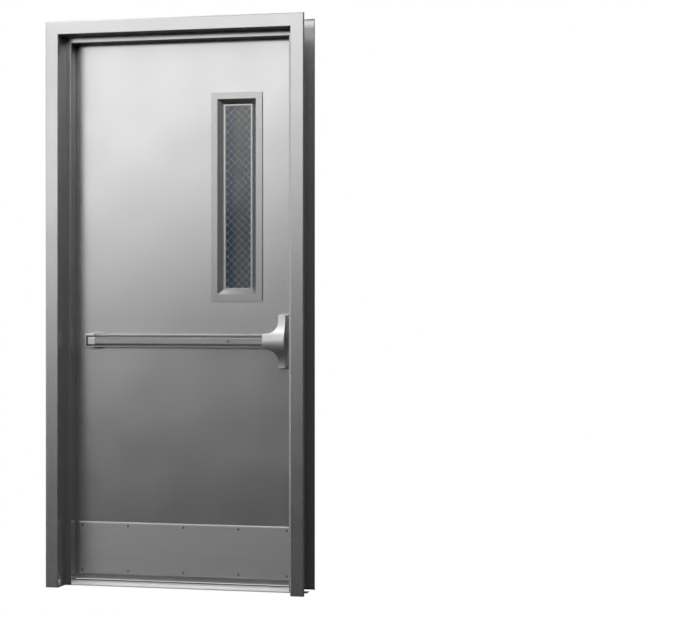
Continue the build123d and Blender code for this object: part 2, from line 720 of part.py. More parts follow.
def exit_device_end_cap():
    """A cap over the rail's end: an end wall and two arms, open at the front for the pad."""
    half = RAIL_HEIGHT / 2 + END_CAP_SIDE
    start = RAIL_START - END_CAP_WALL
    low = (start, proud(END_CAP_PROUD), DEVICE_Z - half)
    body = block(low, (start + END_CAP_LENGTH, LEAF_PUSH_Y, DEVICE_Z + half))
    long_edges = body.edges().filter_by(Axis.X).group_by(Axis.Y)[0]
    end_edges = body.faces().sort_by(Axis.X)[0].edges().filter_by(Axis.Y)
    front_edge = body.faces().sort_by(Axis.X)[0].edges().filter_by(Axis.Z).group_by(Axis.Y)[0]
    body = fillet(long_edges + end_edges + front_edge, END_CAP_ROUND)
    inner = RAIL_HEIGHT / 2
    room = block((RAIL_START, proud(RAIL_PROUD), DEVICE_Z - inner), (FAR, LEAF_PUSH_Y + 1, DEVICE_Z + inner))
    slot = inner - RAIL_LIP
    mouth = block((RAIL_START, proud(END_CAP_PROUD + 1), DEVICE_Z - slot), (FAR, LEAF_PUSH_Y, DEVICE_Z + slot))
    return body - room - mouth


def exit_device_end_bracket():
    """The plate that screws the rail's end to the leaf, with a lug for the cap's screw."""
    half = END_BRACKET_WIDTH / 2
    plate_face = RAIL_WALL + END_BRACKET_PLATE
    plate = block(
        (RAIL_START, proud(plate_face), DEVICE_Z - half),
        (RAIL_START + END_BRACKET_LENGTH, proud(RAIL_WALL), DEVICE_Z + half),
    )
    lug = block(
        (RAIL_START, proud(RAIL_WALL + END_BRACKET_LUG), DEVICE_Z - half),
        (RAIL_START + END_BRACKET_PLATE, proud(RAIL_WALL), DEVICE_Z + half),
    )
    return plate + lug


def cover_outline(inset):
    """The head cover from the front: a neck that flares into two upright tips."""
    tip_x = COVER_END - COVER_TIP_WIDTH
    flare_z = COVER_NECK_REACH + COVER_FLARE_RADIUS
    flare_x = tip_x - COVER_FLARE_RADIUS
    bend = COVER_FLARE_RADIUS * (1 - sqrt(0.5))
    upper_flare = ThreePointArc(
        (flare_x, COVER_NECK_REACH), (tip_x - bend, COVER_NECK_REACH + bend), (tip_x, flare_z)
    )
    tip = Polyline(
        (tip_x, flare_z), (tip_x, COVER_TIP_REACH), (COVER_END, COVER_TIP_REACH),
        (COVER_END, -COVER_TIP_REACH), (tip_x, -COVER_TIP_REACH), (tip_x, -flare_z),
    )
    lower_flare = ThreePointArc(
        (tip_x, -flare_z), (tip_x - bend, -COVER_NECK_REACH - bend), (flare_x, -COVER_NECK_REACH)
    )
    neck = Polyline(
        (flare_x, -COVER_NECK_REACH), (COVER_START, -COVER_NECK_REACH),
        (COVER_START, COVER_NECK_REACH), (flare_x, COVER_NECK_REACH),
    )
    face = make_face(Curve() + [upper_flare, tip, lower_flare, neck])
    tips = [v for v in face.vertices() if abs(abs(v.Y) - COVER_TIP_REACH) < 0.01]
    face = fillet(tips, COVER_TIP_ROUND)
    return Pos(0, DEVICE_Z) * (offset(face, amount=-inset) if inset else face)


def cover_crown(inset):
    """The head cover from the side: a round crown over the latch that sweeps out into the two tips."""
    tip = COVER_TIP_PROUD - inset
    fall = COVER_PROUD - COVER_TIP_PROUD
    turn = 2 * atan2(fall, COVER_TIP_REACH)
    sweep_radius = COVER_TIP_REACH / sin(turn) - COVER_CROWN_RADIUS
    shoulder_z = COVER_CROWN_RADIUS * sin(turn)
    shoulder = tip + fall - COVER_CROWN_RADIUS * (1 - cos(turn))
    middle_z = COVER_TIP_REACH - sweep_radius * sin(turn / 2)
    middle = tip + sweep_radius * (1 - cos(turn / 2))

    def place(out, up):
        return (proud(out), DEVICE_Z + up)

    lower = ThreePointArc(place(tip, -COVER_TIP_REACH), place(middle, -middle_z), place(shoulder, -shoulder_z))
    crown = ThreePointArc(place(shoulder, -shoulder_z), place(tip + fall, 0), place(shoulder, shoulder_z))
    upper = ThreePointArc(place(shoulder, shoulder_z), place(middle, middle_z), place(tip, COVER_TIP_REACH))
    back = Polyline(
        place(tip, COVER_TIP_REACH), place(0, COVER_TIP_REACH),
        place(0, -COVER_TIP_REACH), place(tip, -COVER_TIP_REACH),
    )
    return make_face(Curve() + [lower, crown, upper, back])


def cover_form(inset):
    front = along_y(cover_outline(inset), proud(COVER_PROUD + 1), LEAF_PUSH_Y)
    return front & along_x(cover_crown(inset), COVER_START - 1, COVER_END + 1)


def latch_room(height_clearance, start, end):
    half = LATCH_HEIGHT / 2 + height_clearance
    low = (start, proud(LATCH_OUTER_PROUD + LATCH_CLEARANCE), DEVICE_Z - half)
    return block(low, (end, proud(LATCH_INNER_PROUD - LATCH_CLEARANCE), DEVICE_Z + half))


def exit_device_head_cover():
    """A thin cast cover, open at the back and at the neck, where the rail and pad run in."""
    outer = cover_form(0)
    front = [f for f in outer.faces().filter_by(GeomType.CYLINDER) if f.normal_at(f.center()).Y < -0.5]
    rim = [e for f in front for e in f.edges() if sum(e in other.edges() for other in front) == 1]
    shell = fillet(rim, COVER_EDGE_ROUND) - cover_form(COVER_WALL)
    inner = COVER_NECK_REACH - COVER_WALL
    neck_low = (COVER_START - 1, proud(COVER_PROUD - COVER_WALL), DEVICE_Z - inner)
    neck = block(neck_low, (COVER_START + COVER_WALL + 1, LEAF_PUSH_Y, DEVICE_Z + inner))
    neck = neck & along_x(cover_crown(COVER_WALL), COVER_START - 1, COVER_END)
    return shell - neck - latch_room(LATCH_CLEARANCE, COVER_END - 2 * COVER_WALL, COVER_END + 1)


def exit_device_chassis():
    """The base plate under the cover, with the housing that guides the latch."""
    plate_start = RAIL_END + CHASSIS_MARGIN
    plate_end = COVER_END - COVER_WALL - CHASSIS_MARGIN
    neck = COVER_NECK_REACH - COVER_WALL - CHASSIS_MARGIN
    tips = COVER_TIP_REACH - COVER_WALL - CHASSIS_MARGIN
    tip_start = COVER_END - COVER_TIP_WIDTH + COVER_WALL + CHASSIS_MARGIN
    face = proud(CHASSIS_PLATE)
    body = block((plate_start, face, DEVICE_Z - neck), (plate_end, LEAF_PUSH_Y, DEVICE_Z + neck))
    body += block((tip_start, face, DEVICE_Z - tips), (plate_end, LEAF_PUSH_Y, DEVICE_Z + tips))
    half = CHASSIS_HOUSING_HEIGHT / 2
    housing_start = plate_end - CHASSIS_HOUSING_LENGTH
    housing_low = (housing_start, proud(CHASSIS_HOUSING_PROUD), DEVICE_Z - half)
    body += block(housing_low, (plate_end, LEAF_PUSH_Y, DEVICE_Z + half))
    return body - latch_room(0, housing_start - 1, plate_end + 1)


def latch_bolt():
    """The latch, drawn back so that its nose is just clear of the cover."""
    half = LATCH_HEIGHT / 2
    end = COVER_END + LATCH_NOSE
    low = (end - LATCH_LENGTH, proud(LATCH_OUTER_PROUD), DEVICE_Z - half)
    body = block(low, (end, proud(LATCH_INNER_PROUD), DEVICE_Z + half))
    nose = body.faces().sort_by(Axis.X)[-1].edges().filter_by(Axis.Z)
    return fillet(nose, (LATCH_OUTER_PROUD - LATCH_INNER_PROUD) / 4)


def build():
    os.makedirs("parts", exist_ok=True)
    save("hinge_jamb", hinge_jamb())
    save("strike_jamb", strike_jamb())
    save("frame_head", head_bar())
    save("hinge_jamb_floor_clip", floor_clip(-1))
    save("strike_jamb_floor_clip", floor_clip(1))
    save("hinge_jamb_wall_anchors", wall_anchors(-1))
    save("strike_jamb_wall_anchors", wall_anchors(1))
    save("hinge_reinforcements", hinge_reinforcements())
    save("strike_reinforcement", strike_reinforcement())
    save("rim_strike", rim_strike())
    save("door_silencers", silencers())
    save("threshold", threshold())
    for name, z in HINGES.items():
        save(f"{name}_hinge_jamb_leaf", hinge_leaf(z, -1))
        save(f"{name}_hinge_door_leaf", hinge_leaf(z, 1))
        save(f"{name}_hinge_pin", hinge_pin(z))
    save("leaf_push_face", face_pan(-1))
    save("leaf_pull_face", face_pan(1))
    save("leaf_core", leaf_core())
    save("leaf_top_channel", end_channel(1))
    save("leaf_bottom_channel", end_channel(-1))
    save("lite_frame_push", lite_frame(-1))
    save("lite_frame_pull", lite_frame(1))
    save("lite_bead_push", lite_bead(-1))
    save("lite_bead_pull", lite_bead(1))
    save("lite_glass", lite_glass())
    save("kick_plate", kick_plate())
    save("exit_device_rail", exit_device_rail())
    save("exit_device_end_cap", exit_device_end_cap())
    save("exit_device_end_bracket", exit_device_end_bracket())
    save("exit_device_chassis", exit_device_chassis())
    save("exit_device_head_cover", exit_device_head_cover())
    save("latch_bolt", latch_bolt())
    save("dogging_spindle", dogging_spindle())
    save("pad_guide_posts", pad_guide_posts())
    save("push_pad", push_pad())
    save("push_pad_end_block", push_pad_end_block())
    save("push_pad_carriers", push_pad_carriers())


build()
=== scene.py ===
# %% [markdown]
# # Dressing a hollow metal door in Blender
#
# The solids of this door come from a CAD model: the frame, the leaf, the lite, the exit device and the
# hinges already have their real sizes. What they lack is a finish, and the small things that hold a
# door together. These cells add both. Everything is in metres. X runs along the wall from the hinges
# to the latch, Y runs through the wall away from the viewer, and Z is up.

# %% Load the solids
import json
import math

import bmesh
import bpy
from mathutils import Matrix, Vector


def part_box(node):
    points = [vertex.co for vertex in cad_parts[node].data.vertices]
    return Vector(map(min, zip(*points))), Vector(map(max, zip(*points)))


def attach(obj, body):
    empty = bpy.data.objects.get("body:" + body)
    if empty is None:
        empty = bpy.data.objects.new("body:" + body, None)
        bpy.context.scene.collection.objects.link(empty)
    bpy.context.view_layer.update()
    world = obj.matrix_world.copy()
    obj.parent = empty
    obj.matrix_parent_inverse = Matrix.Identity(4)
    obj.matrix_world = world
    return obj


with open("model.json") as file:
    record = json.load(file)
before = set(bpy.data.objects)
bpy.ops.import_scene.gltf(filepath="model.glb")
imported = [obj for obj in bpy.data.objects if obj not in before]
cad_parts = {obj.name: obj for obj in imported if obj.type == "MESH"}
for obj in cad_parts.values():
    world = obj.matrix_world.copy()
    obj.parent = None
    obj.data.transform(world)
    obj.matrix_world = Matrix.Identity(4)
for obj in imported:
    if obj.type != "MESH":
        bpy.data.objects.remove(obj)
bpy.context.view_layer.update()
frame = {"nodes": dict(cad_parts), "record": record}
nodes = frame["nodes"]
print("nodes loaded:", len(nodes))

# %% [markdown]
# ## The camera
#
# A photograph fixes a camera once a few of its points are known in the real object. Here the frame's
# corners gave the place, the turn and the focal length. The focal length came out in pixels of a
# 691 pixel wide picture, and a lens is that figure times the sensor's width over the picture's width.
# The camera stays level, so upright lines stay upright, as they do in the photograph.

# %% Place the camera
PHOTO_WIDTH = 691
FOCAL_LENGTH_PIXELS = 1825.3
SENSOR_WIDTH = 36.0
CAMERA_PLACE = (2.2247, -6.6872, 1.0767)
CAMERA_TURN = math.radians(13.21)

lens = bpy.data.cameras.new("door_camera")
lens.sensor_fit = "HORIZONTAL"
lens.sensor_width = SENSOR_WIDTH
lens.lens = SENSOR_WIDTH * FOCAL_LENGTH_PIXELS / PHOTO_WIDTH
camera = bpy.data.objects.new("door_camera", lens)
camera.location = CAMERA_PLACE
camera.rotation_euler = (math.radians(90), 0, CAMERA_TURN)
bpy.context.scene.collection.objects.link(camera)
bpy.context.scene.camera = camera
print("lens:", round(lens.lens, 2), "mm")

# %% [markdown]
# ## Helpers for node trees
#
# Node trees are wordy when they are built by hand, and the same few nodes come back in the world, in
# the shader groups and in the materials. Each helper adds one node to a tree, links its inputs and
# returns its output, so that a cell reads like the sum that it works out.

# %% Node helpers
def noise(tree, scale, detail=2.0, vector=None):
    """A noise texture at this scale, fed by object coordinates in metres unless a vector is given."""
    texture = tree.nodes.new("ShaderNodeTexNoise")
    texture.inputs["Scale"].default_value = scale
    texture.inputs["Detail"].default_value = detail
    if vector is None:
        vector = tree.nodes.new("ShaderNodeTexCoord").outputs["Object"]
    tree.links.new(vector, texture.inputs["Vector"])
    return texture.outputs["Fac"]


def map_range(tree, value, low, high, to_low, to_high):
    """Maps a value from one range to another, clamped."""
    node = tree.nodes.new("ShaderNodeMapRange")
    for socket, number in zip(("From Min", "From Max", "To Min", "To Max"), (low, high, to_low, to_high)):
        node.inputs[socket].default_value = number
    tree.links.new(value, node.inputs["Value"])
    return node.outputs["Result"]


def calculate(tree, operation, first, second):
    """A maths node. Each operand is a socket or a number."""
    node = tree.nodes.new("ShaderNodeMath")
    node.operation = operation
    for place, operand in enumerate((first, second)):
        if isinstance(operand, (int, float)):
            node.inputs[place].default_value = operand
        else:
            tree.links.new(operand, node.inputs[place])
    return node.outputs[0]


def blend_colours(tree, share, first, second):
    """Mixes two colour sockets or colours by a share from 0 to 1."""
    node = tree.nodes.new("ShaderNodeMix")
    node.data_type = "RGBA"
    tree.links.new(share, node.inputs[0])
    colours = [s for s in node.inputs if s.type == "RGBA"]
    for socket, colour in zip(colours, (first, second)):
        if isinstance(colour, tuple):
            socket.default_value = colour
        else:
            tree.links.new(colour, socket)
    return [s for s in node.outputs if s.type == "RGBA"][0]


def shade(value, warmth=0.0):
    """A near-neutral colour: warmth lifts red and lowers blue."""
    return (value + warmth, value, value - warmth, 1.0)


def ramp(tree, value, stops):
    """A colour ramp over values from -1 to 1. Each stop is a value, then a grey or a colour."""
    node = tree.nodes.new("ShaderNodeValToRGB")
    node.color_ramp.interpolation = "EASE"
    elements = node.color_ramp.elements
    made_already = len(elements)
    for i, (at, colour) in enumerate(stops):
        place = (at + 1) / 2
        element = elements[i] if i < made_already else elements.new(place)
        element.position = place
        element.color = colour if isinstance(colour, tuple) else shade(colour)
    tree.links.new(map_range(tree, value, -1.0, 1.0, 0.0, 1.0), node.inputs[0])
    return node.outputs["Color"]


print("helpers ready")

# %% [markdown]
# ## The studio
#
# Satin steel shows the room more than it shows its own colour. In the photograph the door is light
# above eye level and dark below it, with white rims on its bends. That is a long bright panel just
# above the viewer's eye level, a second one higher up, a dark floor, dim sides and one tall cool strip
# far to the left, all blurred by the paint. A world shader can hold that room: one ramp gives the
# light of the front by how steeply a ray leaves, another gives the sides, and a third blends them by
# where the ray points. The Light Path node keeps the backdrop white for the camera, and gives the dim
# room behind the glass to rays that pass it.
#
# A ray's direction has a length of 1, so its height runs from -1, straight down, to 1, straight up. A
# heading runs from -1 to 1 as well, in half turns from the front, with the left below zero.

# %% Say where the studio is bright
STUDIO_STRENGTH = 2.8
PANEL_TILT = 0.42  # the panel's lower edge rises towards the right
TILT_PIVOT = -0.34
FRONT_STOPS = [
    (-1.0, 0.0), (0.02, 0.0), (0.05, 0.45), (0.10, 0.86), (0.145, 0.90), (0.17, 0.15), (0.21, 0.15),
    (0.23, 0.6), (0.27, 0.6), (0.285, 0.0), (0.6, 0.0), (0.85, 0.45), (1.0, 0.5),
]
SIDE_LIGHT = shade(0.07, -0.008)
SIDE_STOPS = [(-1.0, 0.0), (0.0, 0.0), (0.08, SIDE_LIGHT), (0.42, SIDE_LIGHT), (0.55, 0.0)]
FRONT_TO_SIDE = [(-1.0, 1.0), (-0.40, 1.0), (-0.30, 0.0), (0.17, 0.0), (0.24, 1.0)]
SIDE_TO_BACK = [(-1.0, 0.0), (0.5, 0.0), (0.7, 1.0), (1.0, 1.0)]
BACK_LIGHT = shade(0.03)
STRIP_PLACES = [(-1.0, 0.0), (-0.61, 0.0), (-0.58, 1.0), (-0.52, 1.0), (-0.49, 0.0)]
STRIP_HEIGHTS = [(-1.0, 0.0), (-0.5, 0.0), (-0.45, 1.0), (0.55, 1.0), (0.6, 0.0)]
STRIP_LIGHT = (0.82, 0.94, 1.08, 1.0)
ROOM_BEHIND = (0.085, 0.088, 0.092, 1.0)
ROOM_BEHIND_LEFT = (0.034, 0.046, 0.070, 1.0)
BLUE_ROOM_SLOPE = -0.2996  # how far to the left per metre of depth the blue part of the room begins
print("stops in the front's light:", len(FRONT_STOPS))

# %% Make the world
world = bpy.data.worlds.new("studio")
world.use_nodes = True
bpy.context.scene.world = world
sky = world.node_tree
sky.nodes.clear()
ray = sky.nodes.new("ShaderNodeSeparateXYZ")
sky.links.new(sky.nodes.new("ShaderNodeTexCoord").outputs["Generated"], ray.inputs[0])
across, depth, height = ray.outputs

lean = calculate(sky, "MULTIPLY", calculate(sky, "SUBTRACT", across, TILT_PIVOT), PANEL_TILT)
front_light = ramp(sky, calculate(sky, "SUBTRACT", height, lean), FRONT_STOPS)
side_light = blend_colours(sky, ramp(sky, depth, SIDE_TO_BACK), ramp(sky, height, SIDE_STOPS), BACK_LIGHT)
heading = calculate(sky, "ARCTAN2", across, calculate(sky, "MULTIPLY", depth, -1.0))
half_turns = calculate(sky, "DIVIDE", heading, math.pi)
walls = blend_colours(sky, ramp(sky, half_turns, FRONT_TO_SIDE), front_light, side_light)
strips = calculate(sky, "MULTIPLY", ramp(sky, half_turns, STRIP_PLACES), ramp(sky, height, STRIP_HEIGHTS))
studio_colour = blend_colours(sky, strips, walls, STRIP_LIGHT)
is_left = calculate(sky, "LESS_THAN", calculate(sky, "DIVIDE", across, depth), BLUE_ROOM_SLOPE)
room_colour = blend_colours(sky, is_left, ROOM_BEHIND, ROOM_BEHIND_LEFT)
print("world nodes:", len(sky.nodes))

# %% Show each kind of ray its own background
def background(colour, strength=1.0):
    """A background shader's output."""
    node = sky.nodes.new("ShaderNodeBackground")
    node.inputs["Strength"].default_value = strength
    if isinstance(colour, tuple):
        node.inputs["Color"].default_value = colour
    else:
        sky.links.new(colour, node.inputs["Color"])
    return node.outputs[0]


def blend_shaders(share, first, second):
    """Mixes two shaders by a share from 0 to 1."""
    node = sky.nodes.new("ShaderNodeMixShader")
    for socket, source in zip(node.inputs, (share, first, second)):
        sky.links.new(source, socket)
    return node.outputs[0]


rays = sky.nodes.new("ShaderNodeLightPath")
studio_light = background(studio_colour, STUDIO_STRENGTH)
lit = blend_shaders(rays.outputs["Is Transmission Ray"], studio_light, background(room_colour))
seen = blend_shaders(rays.outputs["Is Camera Ray"], lit, background(shade(1.0)))
sky.links.new(seen, sky.nodes.new("ShaderNodeOutputWorld").inputs["Surface"])
bpy.context.scene.view_settings.view_transform = "Standard"
print("backgrounds:", sum(node.type == "BACKGROUND" for node in sky.nodes))

# %% [markdown]
# ## The lamps
#
# The world gives most of the light. A soft lamp above the viewer lights the top of the exit bar and
# throws the bar's shadow on the leaf, two nearer ones light the ledges from both sides, and one behind
# the door lights the pull side. All are broad area lamps, so no shadow has a hard edge.

# %% Hang the lamps
DOOR_MIDDLE = (0.0, 0.0, 1.1)


def hang_lamp(name, place, size, watts):
    """A round area lamp that faces the middle of the door."""
    lamp = bpy.data.lights.new(name, "AREA")
    lamp.shape = "DISK"
    lamp.size = size
    lamp.energy = watts
    holder = bpy.data.objects.new(name, lamp)
    holder.location = place
    facing = Vector(DOOR_MIDDLE) - Vector(place)
    holder.rotation_euler = facing.to_track_quat("-Z", "Y").to_euler()
    bpy.context.scene.collection.objects.link(holder)


hang_lamp("key_lamp", place=(0.8, -4.5, 4.6), size=2.0, watts=40.0)
hang_lamp("near_left_lamp", place=(-1.0, -1.2, 3.0), size=1.2, watts=9.0)
hang_lamp("near_right_lamp", place=(0.9, -1.2, 3.0), size=1.2, watts=20.0)
hang_lamp("back_lamp", place=(-1.0, 3.6, 4.2), size=2.4, watts=60.0)

# %% [markdown]
# ## Shader groups
#
# Several finishes on a door are made the same way. Sprayed paint has a faint orange peel and drifts
# in tone over a metre or so. Brushed metal has fine streaks along one direction. Dust and scuffs
# gather near the floor. Each of these is a node group, built once, with its own named inputs, so that
# every material can use it with its own values. The shader itself stays in the material.

# %% A helper for shader groups
def shader_group(name, inputs, outputs):
    """An empty node group with these sockets, its input node and its output node."""
    group = bpy.data.node_groups.new(name, "ShaderNodeTree")
    for socket, (kind, value) in inputs.items():
        made = group.interface.new_socket(name=socket, in_out="INPUT", socket_type=kind)
        made.default_value = value
    for socket, kind in outputs.items():
        group.interface.new_socket(name=socket, in_out="OUTPUT", socket_type=kind)
    return group, group.nodes.new("NodeGroupInput"), group.nodes.new("NodeGroupOutput")


print("group helper ready")

# %% [markdown]
# ### Sprayed paint
#
# Paint sprayed on flat steel dries with a skin like orange peel, about a millimetre between its
# dimples, and its tone drifts slowly because the coat isn't quite even. A bump map could be painted,
# but noise in metres needs no picture and keeps the right scale on every piece.

# %% Paint group
NOISE_LOW, NOISE_HIGH = 0.3, 0.7  # nearly all of a noise lies between these
TONE_SCALE = 3.1
TONE_LOW, TONE_HIGH = 0.35, 0.65
SHEEN_SCALE = 5.0
SHEEN_DRIFT = 0.012
PEEL_SCALE = 900.0
WAVE_SCALE = 9.0
WAVE_SHARE = 0.4  # of the relief, with the peel as the rest
paint_skin, start, end = shader_group(
    "paint_skin",
    {
        "Coat": ("NodeSocketColor", (0.7, 0.7, 0.7, 1)),
        "Thin Coat": ("NodeSocketColor", (0.66, 0.66, 0.66, 1)),
        "Sheen": ("NodeSocketFloat", 0.35),
    },
    {"Color": "NodeSocketColor", "Roughness": "NodeSocketFloat", "Height": "NodeSocketFloat"},
)
drift = map_range(paint_skin, noise(paint_skin, TONE_SCALE, 3.0), TONE_LOW, TONE_HIGH, 0.0, 1.0)
colour = blend_colours(paint_skin, drift, start.outputs["Coat"], start.outputs["Thin Coat"])
patchy = noise(paint_skin, SHEEN_SCALE)
uneven = map_range(paint_skin, patchy, NOISE_LOW, NOISE_HIGH, -SHEEN_DRIFT, SHEEN_DRIFT)
paint_skin.links.new(colour, end.inputs["Color"])
paint_skin.links.new(calculate(paint_skin, "ADD", start.outputs["Sheen"], uneven), end.inputs["Roughness"])
peel = calculate(paint_skin, "MULTIPLY", noise(paint_skin, PEEL_SCALE), 1.0 - WAVE_SHARE)
wave = calculate(paint_skin, "MULTIPLY", noise(paint_skin, WAVE_SCALE, 1.0), WAVE_SHARE)
paint_skin.links.new(calculate(paint_skin, "ADD", peel, wave), end.inputs["Height"])
print("paint_skin sockets:", len(paint_skin.interface.items_tree))

# %% [markdown]
# ### Brushed metal
#
# A sanding belt leaves streaks that are long in the direction of travel and a millimetre or less apart
# across it. Stretching the texture's coordinates gives that: the same noise, squeezed across the grain.
# The streaks change the tone, the roughness and, a little, the surface.

# %% Brushed grain group
def stretched(tree, factors):
    """Object coordinates in metres, multiplied by a vector socket or by three numbers."""
    stretch = tree.nodes.new("ShaderNodeVectorMath")
    stretch.operation = "MULTIPLY"
    tree.links.new(tree.nodes.new("ShaderNodeTexCoord").outputs["Object"], stretch.inputs[0])
    if isinstance(factors, tuple):
        stretch.inputs[1].default_value = factors
    else:
        tree.links.new(factors, stretch.inputs[1])
    return stretch.outputs[0]


SMOOTHEST_STREAK = -0.05
ROUGHEST_STREAK = 0.06
brushed_grain, start, end = shader_group(
    "brushed_grain",
    {
        "Metal": ("NodeSocketColor", (0.7, 0.7, 0.7, 1)),
        "Streak": ("NodeSocketColor", (0.55, 0.55, 0.55, 1)),
        "Polish": ("NodeSocketFloat", 0.3),
        "Grain": ("NodeSocketVector", (6.0, 900.0, 900.0)),
    },
    {"Color": "NodeSocketColor", "Roughness": "NodeSocketFloat", "Height": "NodeSocketFloat"},
)
streaks = noise(brushed_grain, 1.0, 3.0, stretched(brushed_grain, start.outputs["Grain"]))
share = map_range(brushed_grain, streaks, NOISE_LOW, NOISE_HIGH, 0.0, 1.0)
colour = blend_colours(brushed_grain, share, start.outputs["Metal"], start.outputs["Streak"])
uneven = map_range(brushed_grain, streaks, NOISE_LOW, NOISE_HIGH, SMOOTHEST_STREAK, ROUGHEST_STREAK)
roughness = calculate(brushed_grain, "ADD", start.outputs["Polish"], uneven)
brushed_grain.links.new(colour, end.inputs["Color"])
brushed_grain.links.new(roughness, end.inputs["Roughness"])
brushed_grain.links.new(streaks, end.inputs["Height"])
print("brushed_grain sockets:", len(brushed_grain.interface.items_tree))

# %% [markdown]
# ### Dust and scuffs
#
# Shoes, mops and trolleys mark the foot of a door. The mask is strongest at the floor, fades upwards
# over a set height, and is broken up by noise that is stretched sideways, because scuffs run that way.
# A second socket gives a few fine scratches.

# %% Wear group
SMEAR_STRETCH = (4.0, 14.0, 30.0)
SMEAR_FROM, SMEAR_FULL = 0.42, 0.72  # the noise where dust begins, and where it is thickest
SCRATCH_STRETCH = (60.0, 300.0, 1500.0)
SCRATCH_FROM, SCRATCH_FULL = 0.74, 0.78  # only the highest peaks of the noise, so scratches are few
floor_wear, start, end = shader_group(
    "floor_wear",
    {"Reach": ("NodeSocketFloat", 0.35), "Amount": ("NodeSocketFloat", 0.3)},
    {"Dust": "NodeSocketFloat", "Scratches": "NodeSocketFloat"},
)
amount = start.outputs["Amount"]
axes = floor_wear.nodes.new("ShaderNodeSeparateXYZ")
floor_wear.links.new(floor_wear.nodes.new("ShaderNodeTexCoord").outputs["Object"], axes.inputs[0])
height = calculate(floor_wear, "DIVIDE", axes.outputs["Z"], start.outputs["Reach"])
fade = map_range(floor_wear, height, 0.0, 1.0, 1.0, 0.0)
smears = noise(floor_wear, 1.0, 4.0, stretched(floor_wear, SMEAR_STRETCH))
patches = map_range(floor_wear, smears, SMEAR_FROM, SMEAR_FULL, 0.0, 1.0)
dust = calculate(floor_wear, "MULTIPLY", calculate(floor_wear, "MULTIPLY", fade, patches), amount)
floor_wear.links.new(dust, end.inputs["Dust"])
hairs = noise(floor_wear, 1.0, 1.0, stretched(floor_wear, SCRATCH_STRETCH))
scratches = map_range(floor_wear, hairs, SCRATCH_FROM, SCRATCH_FULL, 0.0, 1.0)
floor_wear.links.new(calculate(floor_wear, "MULTIPLY", scratches, amount), end.inputs["Scratches"])
print("floor_wear sockets:", len(floor_wear.interface.items_tree))

# %% [markdown]
# ## Materials
#
# Each slot of the model gets one material. The helper below makes the shader, puts the groups in, and
# joins them: a finish group gives colour, roughness and height, and the wear group dulls and tints
# what lies under it. Metallic is the same all over a piece, so it is set on the shader's own socket.
# Factory finishes are smooth, and coarse ones say how strong and how deep their relief is.

# %% A helper for materials
SMOOTH_DEPTH = 0.0001
COARSE_DEPTH = 0.0004
DUST_COLOUR = (0.42, 0.41, 0.39, 1)
DUST_DULLING = 0.15
materials = {}


def finish(name, group, look, metallic, bump=0.02, bump_depth=SMOOTH_DEPTH, dust=None):
    """Makes a material from a finish group's values. Dust is its reach up the door and its amount."""
    material = bpy.data.materials.new(name)
    material.use_nodes = True
    tree = material.node_tree
    shader = tree.nodes["Principled BSDF"]
    shader.inputs["Metallic"].default_value = metallic
    skin = tree.nodes.new("ShaderNodeGroup")
    skin.node_tree = group
    for socket, value in look.items():
        skin.inputs[socket].default_value = value
    colour, roughness = skin.outputs["Color"], skin.outputs["Roughness"]
    if dust:
        wear = tree.nodes.new("ShaderNodeGroup")
        wear.node_tree = floor_wear
        wear.inputs["Reach"].default_value, wear.inputs["Amount"].default_value = dust
        colour = blend_colours(tree, wear.outputs["Dust"], colour, DUST_COLOUR)
        marks = calculate(tree, "MAXIMUM", wear.outputs["Dust"], wear.outputs["Scratches"])
        roughness = calculate(tree, "ADD", roughness, calculate(tree, "MULTIPLY", marks, DUST_DULLING))
    tree.links.new(colour, shader.inputs["Base Color"])
    tree.links.new(roughness, shader.inputs["Roughness"])
    relief = tree.nodes.new("ShaderNodeBump")
    relief.inputs["Strength"].default_value = bump
    relief.inputs["Distance"].default_value = bump_depth
    tree.links.new(skin.outputs["Height"], relief.inputs["Height"])
    tree.links.new(relief.outputs["Normal"], shader.inputs["Normal"])
    materials[name] = material


# %% [markdown]
# ### Painted steel
#
# The frame, the leaf and the lite's trim have a satin grey factory coat over zinc-coated steel. It
# carries fine metal flake, so it mirrors the bright and dark halves of the studio, much blurred. That
# is why these paints have a high metallic value. The frame is a shade darker than the leaf and the
# trim a shade darker again, as in the photograph. The anchors, clips and plates inside the frame are
# only primed, and the exit device's castings are painted silver.

# %% Paint materials
METAL_FLAKE = 0.88
finish(
    "leaf_paint", paint_skin, {"Coat": shade(0.66), "Thin Coat": shade(0.645), "Sheen": 0.24},
    metallic=METAL_FLAKE, dust=(0.5, 0.1),
)
finish(
    "frame_paint", paint_skin, {"Coat": shade(0.59), "Thin Coat": shade(0.575), "Sheen": 0.24},
    metallic=METAL_FLAKE, dust=(0.45, 0.1),
)
finish(
    "lite_frame_paint", paint_skin, {"Coat": shade(0.53), "Thin Coat": shade(0.51), "Sheen": 0.25},
    metallic=METAL_FLAKE,
)
finish(
    "primed_steel", paint_skin, {"Coat": shade(0.36, 0.012), "Thin Coat": shade(0.30, 0.01), "Sheen": 0.55},
    metallic=0.35, bump=0.3, bump_depth=COARSE_DEPTH,
)
finish(
    "device_casting", paint_skin,
    {"Coat": shade(0.82, 0.006), "Thin Coat": shade(0.80, 0.006), "Sheen": 0.42}, metallic=0.9,
)
print("painted:", sorted(materials))

# %% [markdown]
# ### Bare metals
#
# The kick plate is stainless steel with its grain running across the door. The exit bar is satin
# anodised aluminium, the threshold is mill aluminium with its grain along the extrusion, and the hinges
# are brushed steel. They share one grain group and differ in tone, polish and direction.

